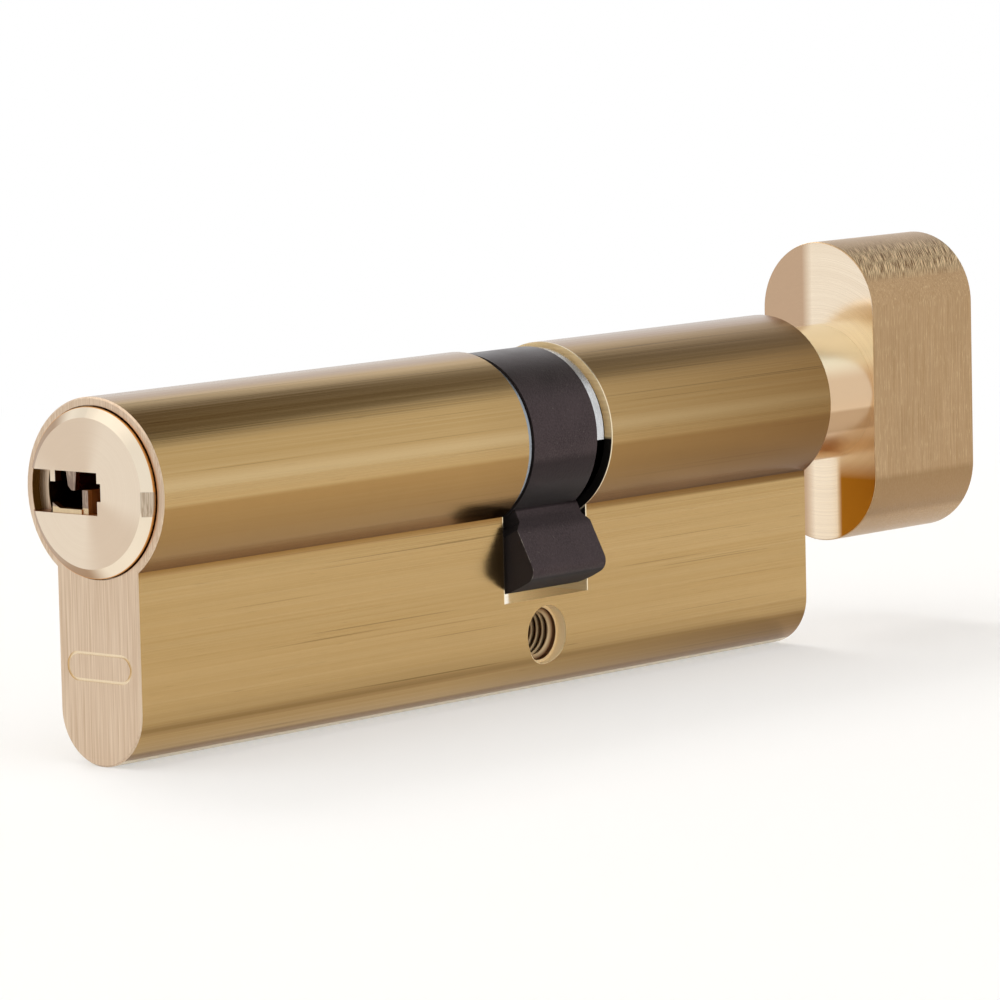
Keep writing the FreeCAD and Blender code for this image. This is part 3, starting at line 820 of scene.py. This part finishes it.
@dataclass(frozen=True)
class BrightSteel:
    """Bright or grinder-finished steel with tool marks; painted shadow turns it bluish by the cam's front
    face.
    """

    name: str = "steel_zinc_plated"
    pale: str = "#e2e3e4"
    grey: str = "#a9abad"
    roughness: float = 0.22
    spacing: float = 0.12
    painted_shadow: str = "#77828d"
    ring_shadow_band: Band = (-6.2, -5.1)

    def build(self) -> bpy.types.Material:
        """Makes the material of a ring, pin or spring."""
        s = Surface(self.name)
        lines = s.marks(self.spacing, 2.5, Run.UPRIGHT, 0.3, 0.7)
        patches = s.clouds(1.2, 0.35, 0.65)
        colour = s.layers(
            s.blend(lines, self.pale, self.grey, 0.5),
            (patches, self.grey, 0.3),
            # painted shadow of the cam on the ring
            (s.within(s.y, *self.ring_shadow_band, 0.01), self.painted_shadow, 0.75),
        )
        return s.metal(colour, s.blend(patches, self.roughness, self.roughness + 0.1), lines, 0.003)


FINISHES = {
    Slot.BODY_BRASS: DrawnBrass(),
    Slot.PLUG_BRASS: SatinTurnedBrass(),
    Slot.KNOB_BRASS: BrushedKnobBrass(),
    Slot.CAM_STEEL: BurnishedSteel(),
    Slot.RING_STEEL: BrightSteel(),
    Slot.GUARD_STEEL: BrightSteel("steel_hardened_ground", "#8b8c8d", "#5c5d5f", 0.3, 0.1),
    Slot.SPRING_STEEL: BrightSteel("steel_spring_wire", "#b4b5b6", "#7d7f81", 0.25, 0.08),
    Slot.PIN_STEEL: BrightSteel("steel_turned_pin", "#a9a8a5", "#77767a", 0.26, 0.1),
    Slot.PIN_BRASS: BrightSteel("brass_turned_pin", "#d8bb83", "#a98b55", 0.26, 0.1),
}


# ---------------------------------------------------------------- sub-assemblies
def dress(node: str, material: bpy.types.Material) -> None:
    """Gives a carried-over node its finish.

    Args:
        node: Name of the node.
        material: Finish for all of it.
    """
    for slot in frame["nodes"][node].material_slots:
        slot.material = material
    log.info("%s: %s", node, material.name)


def deselect_all() -> None:
    """Leaves no object selected, so that operators act only on the piece in hand."""
    for item in bpy.context.selected_objects:
        item.select_set(False)


def fit(piece: bpy.types.Object, body: str, finish: bpy.types.Material) -> None:
    """Gives a new piece its finish and the body that it rides on.

    Args:
        piece: The finished piece, in its place.
        body: Name of the body.
        finish: Material for all of it.
    """
    piece.data.materials.clear()
    piece.data.materials.append(finish)
    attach(piece, body)
    log.info("%s: %d faces", piece.name, len(piece.data.polygons))


@dataclass
class FixingThread:
    """Ridge of the M5 thread in the fixing hole, on the crossways axis through the origin."""

    pitch: float = 0.7
    wall_radius: float = 2.5
    crest_radius: float = 2.08
    root_width: float = 0.62
    crest_width: float = 0.12
    length: float = 7.8
    sink: float = 0.04
    steps: int = 40

    def profile(self) -> bpy.types.Object:
        """Adds the ridge's section in the plane through the hole's axis.

        Returns:
            A four-sided face at the start of the thread.
        """
        depth = self.wall_radius + self.sink - self.crest_radius
        start = (self.root_width - self.length) / 2
        middle = self.crest_radius + depth / 2
        deselect_all()
        bpy.ops.mesh.primitive_plane_add(
            size=1.0, location=(start * MM, 0, middle * MM), rotation=(math.pi / 2, 0, 0))
        ridge = bpy.context.object
        ridge.scale = (self.root_width * MM, depth * MM, 1)
        bpy.ops.object.transform_apply(location=True, rotation=True, scale=True)
        bpy.ops.object.mode_set(mode="EDIT")
        bpy.ops.mesh.select_all(action="DESELECT")
        bpy.ops.object.mode_set(mode="OBJECT")
        for vertex in ridge.data.vertices:
            vertex.select = vertex.co.z < middle * MM
        bpy.ops.object.mode_set(mode="EDIT")
        bpy.ops.transform.resize(
            value=(self.crest_width / self.root_width, 1, 1), center_override=(start * MM, 0, 0))
        bpy.ops.object.mode_set(mode="OBJECT")
        return ridge

    def build(self) -> bpy.types.Object:
        """Sweeps the section along the hole and closes its ends.

        Returns:
            The finished ridge.
        """
        ridge = self.profile()
        turns = (self.length - self.root_width) / self.pitch
        screw = ridge.modifiers.new("thread", "SCREW")
        screw.axis = "X"
        screw.angle = turns * 2 * math.pi
        screw.screw_offset = turns * self.pitch * MM
        screw.steps = round(self.steps * turns)
        screw.render_steps = screw.steps
        screw.use_merge_vertices = True
        screw.merge_threshold = MM / 1000
        bpy.ops.object.modifier_apply(modifier=screw.name)
        bpy.ops.object.mode_set(mode="EDIT")
        bpy.ops.mesh.select_all(action="SELECT")
        bpy.ops.mesh.remove_doubles(threshold=MM / 1000)
        bpy.ops.mesh.normals_make_consistent(inside=False)
        bpy.ops.object.mode_set(mode="OBJECT")
        bpy.ops.object.shade_smooth_by_angle(angle=math.radians(30))
        ridge.name = "fixing_thread"
        return ridge


@dataclass
class CoilSpring:
    """Coil spring that a sliding piece presses together, towards the seat at its far end."""

    node: str
    body: str
    joint: str

    def wire(self) -> bpy.types.Object:
        """Copies the spring at its rest length.

        Returns:
            The copy, in one closed mesh of its own.
        """
        coil = bpy.data.objects.new(f"{self.node}_coil", frame["nodes"][self.node].data.copy())
        bpy.context.scene.collection.objects.link(coil)
        deselect_all()
        coil.select_set(True)
        bpy.context.view_layer.objects.active = coil
        bpy.ops.object.mode_set(mode="EDIT")
        bpy.ops.mesh.select_all(action="SELECT")
        bpy.ops.mesh.remove_doubles(threshold=MM / 10000)
        bpy.ops.object.mode_set(mode="OBJECT")
        bpy.ops.object.shade_smooth_by_angle(angle=math.radians(30))
        return coil

    def build(self, finish: bpy.types.Material) -> None:
        """Puts a copy of the spring in place of the original node, which it hides.

        Args:
            finish: Material of the wire.
        """
        coil = self.wire()
        fit(coil, self.body, finish)
        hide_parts(self.node)
        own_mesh(coil)


@dataclass
class Housing:
    """Profile body with its stoppers, guard pins, driver springs and the thread of the fixing hole."""

    pins: int = 6
    guards: int = 2

    def dress(self, finishes: dict[Slot, bpy.types.Material]) -> None:
        """Finishes the housing's nodes and adds its thread and springs.

        Args:
            finishes: Material of each slot.
        """
        dress("profile_body", finishes[Slot.BODY_BRASS])
        for i in range(1, self.pins + 1):
            dress(f"chamber_plug_{i}", finishes[Slot.BODY_BRASS])
            spring = CoilSpring(f"driver_spring_{i}", "housing", f"driver_pin_{i}_slide")
            spring.build(finishes[Slot.SPRING_STEEL])
        for i in range(1, self.guards + 1):
            dress(f"body_guard_pin_{i}", finishes[Slot.GUARD_STEEL])
        fit(FixingThread().build(), "housing", finishes[Slot.BODY_BRASS])


@dataclass
class KeySide:
    """Key plug, its guard pins and retaining ring, the pin stacks and the clutch."""

    pins: int = 6
    guards: int = 2

    def dress(self, finishes: dict[Slot, bpy.types.Material]) -> None:
        """Finishes the key side's nodes.

        Args:
            finishes: Material of each slot.
        """
        dress("key_plug", finishes[Slot.PLUG_BRASS])
        dress("plug_retaining_ring", finishes[Slot.RING_STEEL])
        dress("clutch_slider", finishes[Slot.GUARD_STEEL])
        for i in range(1, self.guards + 1):
            dress(f"plug_guard_pin_{i}", finishes[Slot.GUARD_STEEL])
        for i in range(1, self.pins + 1):
            dress(f"driver_pin_{i}", finishes[Slot.PIN_STEEL])
            dress(f"key_pin_{i}", finishes[Slot.PIN_BRASS])


@dataclass
class TurnSide:
    """Cam, thumbturn shaft with its ring and spring, knob and grub screw."""

    def dress(self, finishes: dict[Slot, bpy.types.Material]) -> None:
        """Finishes the turn side's nodes and adds its spring.

        Args:
            finishes: Material of each slot.
        """
        dress("cam", finishes[Slot.CAM_STEEL])
        dress("turn_shaft", finishes[Slot.PLUG_BRASS])
        dress("turn_retaining_ring", finishes[Slot.RING_STEEL])
        CoilSpring("clutch_spring", "thumbturn", "clutch_slide").build(finishes[Slot.SPRING_STEEL])
        dress("thumb_knob", finishes[Slot.KNOB_BRASS])
        dress("knob_grub_screw", finishes[Slot.GUARD_STEEL])


# ---------------------------------------------------------------- studio
@dataclass(frozen=True)
class Softbox:
    """Glowing panel, with its place and target in metres and its own brightness, where 1 looks white."""

    name: str
    place: tuple[float, float, float]
    target: tuple[float, float, float]
    width: float
    height: float
    brightness: float

    def build(self) -> None:
        """Adds the panel as an area light."""
        lamp = bpy.data.lights.new(self.name, "AREA")
        lamp.shape = "RECTANGLE"
        lamp.size = self.width
        lamp.size_y = self.height
        lamp.energy = self.brightness * math.pi * self.width * self.height
        box = bpy.data.objects.new(self.name, lamp)
        away = Vector(self.place) - Vector(self.target)
        box.matrix_world = Matrix.Translation(self.place) @ away.to_track_quat("Z", "Y").to_matrix().to_4x4()
        bpy.context.scene.collection.objects.link(box)
        log.info("%s: %.0f W", self.name, lamp.energy)


SOFTBOXES = (
    Softbox("overhead_softbox", (0.0, -1.25, 2.4), (0.0, -1.25, 0.0), 4.5, 4.5, 1.3),
    Softbox("key_softbox", (-0.997, 0.363, 1.06), (0.0, 0.0, 0.01), 0.5, 0.5, 7.0),
)


@dataclass
class Studio:
    """Pale floor that curves up into a backdrop all round, two soft lights and the camera.

    Sizes are in metres, apart from the camera's distance, aim, lens and sensor, which are in millimetres.
    """

    floor_radius: float = 2.0
    cove_radius: float = 0.5
    cove_steps: int = 10
    wall_top: float = 2.25
    wall_white_to: float = 1.6
    wall_top_glow: float = 0.15
    near: float = 0.1
    far: float = 0.3
    near_white: float = 0.45
    floor_colour: str = "#f6f5f3"
    ceiling_colour: str = "#6e6250"
    azimuth: float = 41.12034
    elevation: float = 6.41359
    roll: float = -1.33156
    distance: float = 533.159
    aim: tuple[float, float, float] = (23.406, -27.430, 16.614)
    lens: float = 215.32
    sensor: float = 36.0

    def cove(self) -> list[Band]:
        """Radius and height of each ring from the floor's edge to the top of the backdrop."""
        rings = []
        for i in range(1, self.cove_steps + 1):
            angle = math.pi / 2 * i / self.cove_steps
            rings.append((self.floor_radius + self.cove_radius * math.sin(angle),
                          self.cove_radius * (1 - math.cos(angle))))
        rings.append((self.floor_radius + self.cove_radius, self.wall_top))
        return rings

    def paint(self) -> bpy.types.Material:
        """Matt paint: plain and lit near the object, white to the eye and to metal further out."""
        material = bpy.data.materials.new("studio_matt_paint")
        material.use_nodes = True
        tree = material.node_tree
        tree.nodes.clear()
        place = add_node(tree, "ShaderNodeTexCoord").outputs["Object"]
        reach = add_node(tree, "ShaderNodeVectorMath", {0: place}, operation="LENGTH")
        far = add_node(tree, "ShaderNodeMapRange", {
            "Value": reach.outputs["Value"], "From Min": self.near, "From Max": self.far,
            "To Min": self.near_white,
        }, interpolation_type="SMOOTHSTEP")
        height = add_node(tree, "ShaderNodeSeparateXYZ", {0: place}).outputs["Z"]
        fade = add_node(tree, "ShaderNodeMapRange", {
            "Value": height, "From Min": self.wall_white_to, "From Max": self.wall_top,
            "To Min": 1.0, "To Max": self.wall_top_glow,
        }, interpolation_type="SMOOTHSTEP")
        path = add_node(tree, "ShaderNodeLightPath")
        seen = path.outputs["Is Camera Ray"]
        for way in ("Is Glossy Ray", "Is Transmission Ray"):
            joined = add_node(tree, "ShaderNodeMath", {0: seen, 1: path.outputs[way]}, operation="MAXIMUM")
            seen = joined.outputs[0]
        white = add_node(tree, "ShaderNodeMath", {0: seen, 1: far.outputs[0]}, operation="MULTIPLY")
        paint = add_node(tree, "ShaderNodeBsdfPrincipled", {
            "Base Color": srgb(self.floor_colour), "Roughness": 0.85, "IOR": 1.45,
        })
        glow = add_node(tree, "ShaderNodeEmission", {"Color": (1, 1, 1, 1), "Strength": fade.outputs[0]})
        mixed = add_node(tree, "ShaderNodeMixShader", {
            0: white.outputs[0], 1: paint.outputs[0], 2: glow.outputs[0],
        })
        add_node(tree, "ShaderNodeOutputMaterial", {"Surface": mixed.outputs[0]})
        return material

    def floor(self, height: float) -> None:
        """Models the floor and backdrop.

        Args:
            height: Level of the floor, in metres.
        """
        deselect_all()
        bpy.ops.mesh.primitive_circle_add(
            vertices=96, radius=self.floor_radius, fill_type="NGON", location=(0, 0, height))
        sheet = bpy.context.object
        sheet.name = "studio_floor"
        bpy.ops.object.transform_apply(location=True, rotation=True, scale=True)
        bpy.ops.object.mode_set(mode="EDIT")
        bpy.ops.mesh.select_mode(type="EDGE")
        bpy.ops.mesh.select_all(action="SELECT")
        radius, level = self.floor_radius, 0.0
        for wider, higher in self.cove():
            bpy.ops.mesh.extrude_edges_move(TRANSFORM_OT_translate={"value": (0, 0, higher - level)})
            bpy.ops.transform.resize(value=(wider / radius, wider / radius, 1), center_override=(0, 0, 0))
            radius, level = wider, higher
        bpy.ops.mesh.select_all(action="SELECT")
        bpy.ops.mesh.normals_make_consistent(inside=True)
        bpy.ops.object.mode_set(mode="OBJECT")
        bpy.ops.object.shade_smooth_by_angle(angle=math.radians(30))
        sheet.data.materials.append(self.paint())
        sheet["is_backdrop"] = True

    def light(self) -> None:
        """Adds the soft lights and the dim room."""
        for softbox in SOFTBOXES:
            softbox.build()
        world = bpy.data.worlds.new("studio_room")
        world.use_nodes = True
        world.node_tree.nodes.clear()
        room = add_node(world.node_tree, "ShaderNodeBackground", {
            "Color": srgb(self.ceiling_colour), "Strength": 1.0,
        })
        add_node(world.node_tree, "ShaderNodeOutputWorld", {"Surface": room.outputs[0]})
        bpy.context.scene.world = world

    def camera(self) -> None:
        """Places the camera by azimuth, elevation, roll and distance from its aim."""
        turn, lift = math.radians(self.azimuth), math.radians(self.elevation)
        back = Vector((math.sin(turn) * math.cos(lift), -math.cos(turn) * math.cos(lift), math.sin(lift)))
        right = Vector((math.cos(turn), math.sin(turn), 0))
        up = back.cross(right)
        cosine, sine = math.cos(math.radians(self.roll)), math.sin(math.radians(self.roll))
        right, up = right * cosine + up * sine, up * cosine - right * sine
        data = bpy.data.cameras.new("studio_camera")
        data.lens = self.lens
        data.sensor_width = self.sensor
        data.clip_start = 0.01
        data.clip_end = 20.0
        item = bpy.data.objects.new("studio_camera", data)
        spin = Matrix((right, up, back)).transposed().to_4x4()
        item.matrix_world = Matrix.Translation((Vector(self.aim) + back * self.distance) * MM) @ spin
        bpy.context.scene.collection.objects.link(item)
        bpy.context.scene.camera = item

    def build(self) -> None:
        """Sets up floor, light and camera round the object."""
        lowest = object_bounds()[0]
        self.floor(lowest.z)
        self.light()
        self.camera()
        bpy.context.scene.view_settings.view_transform = "Standard"


def main() -> None:
    """Finishes each sub-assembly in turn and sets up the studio."""
    logging.basicConfig(level=logging.INFO, format="%(name)s %(message)s")
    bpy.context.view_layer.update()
    finishes = {slot: finish.build() for slot, finish in FINISHES.items()}
    for assembly in (Housing(), KeySide(), TurnSide()):
        assembly.dress(finishes)
    Studio().build()
    log.info("sizes written")


if __name__ == "__main__":
    main()
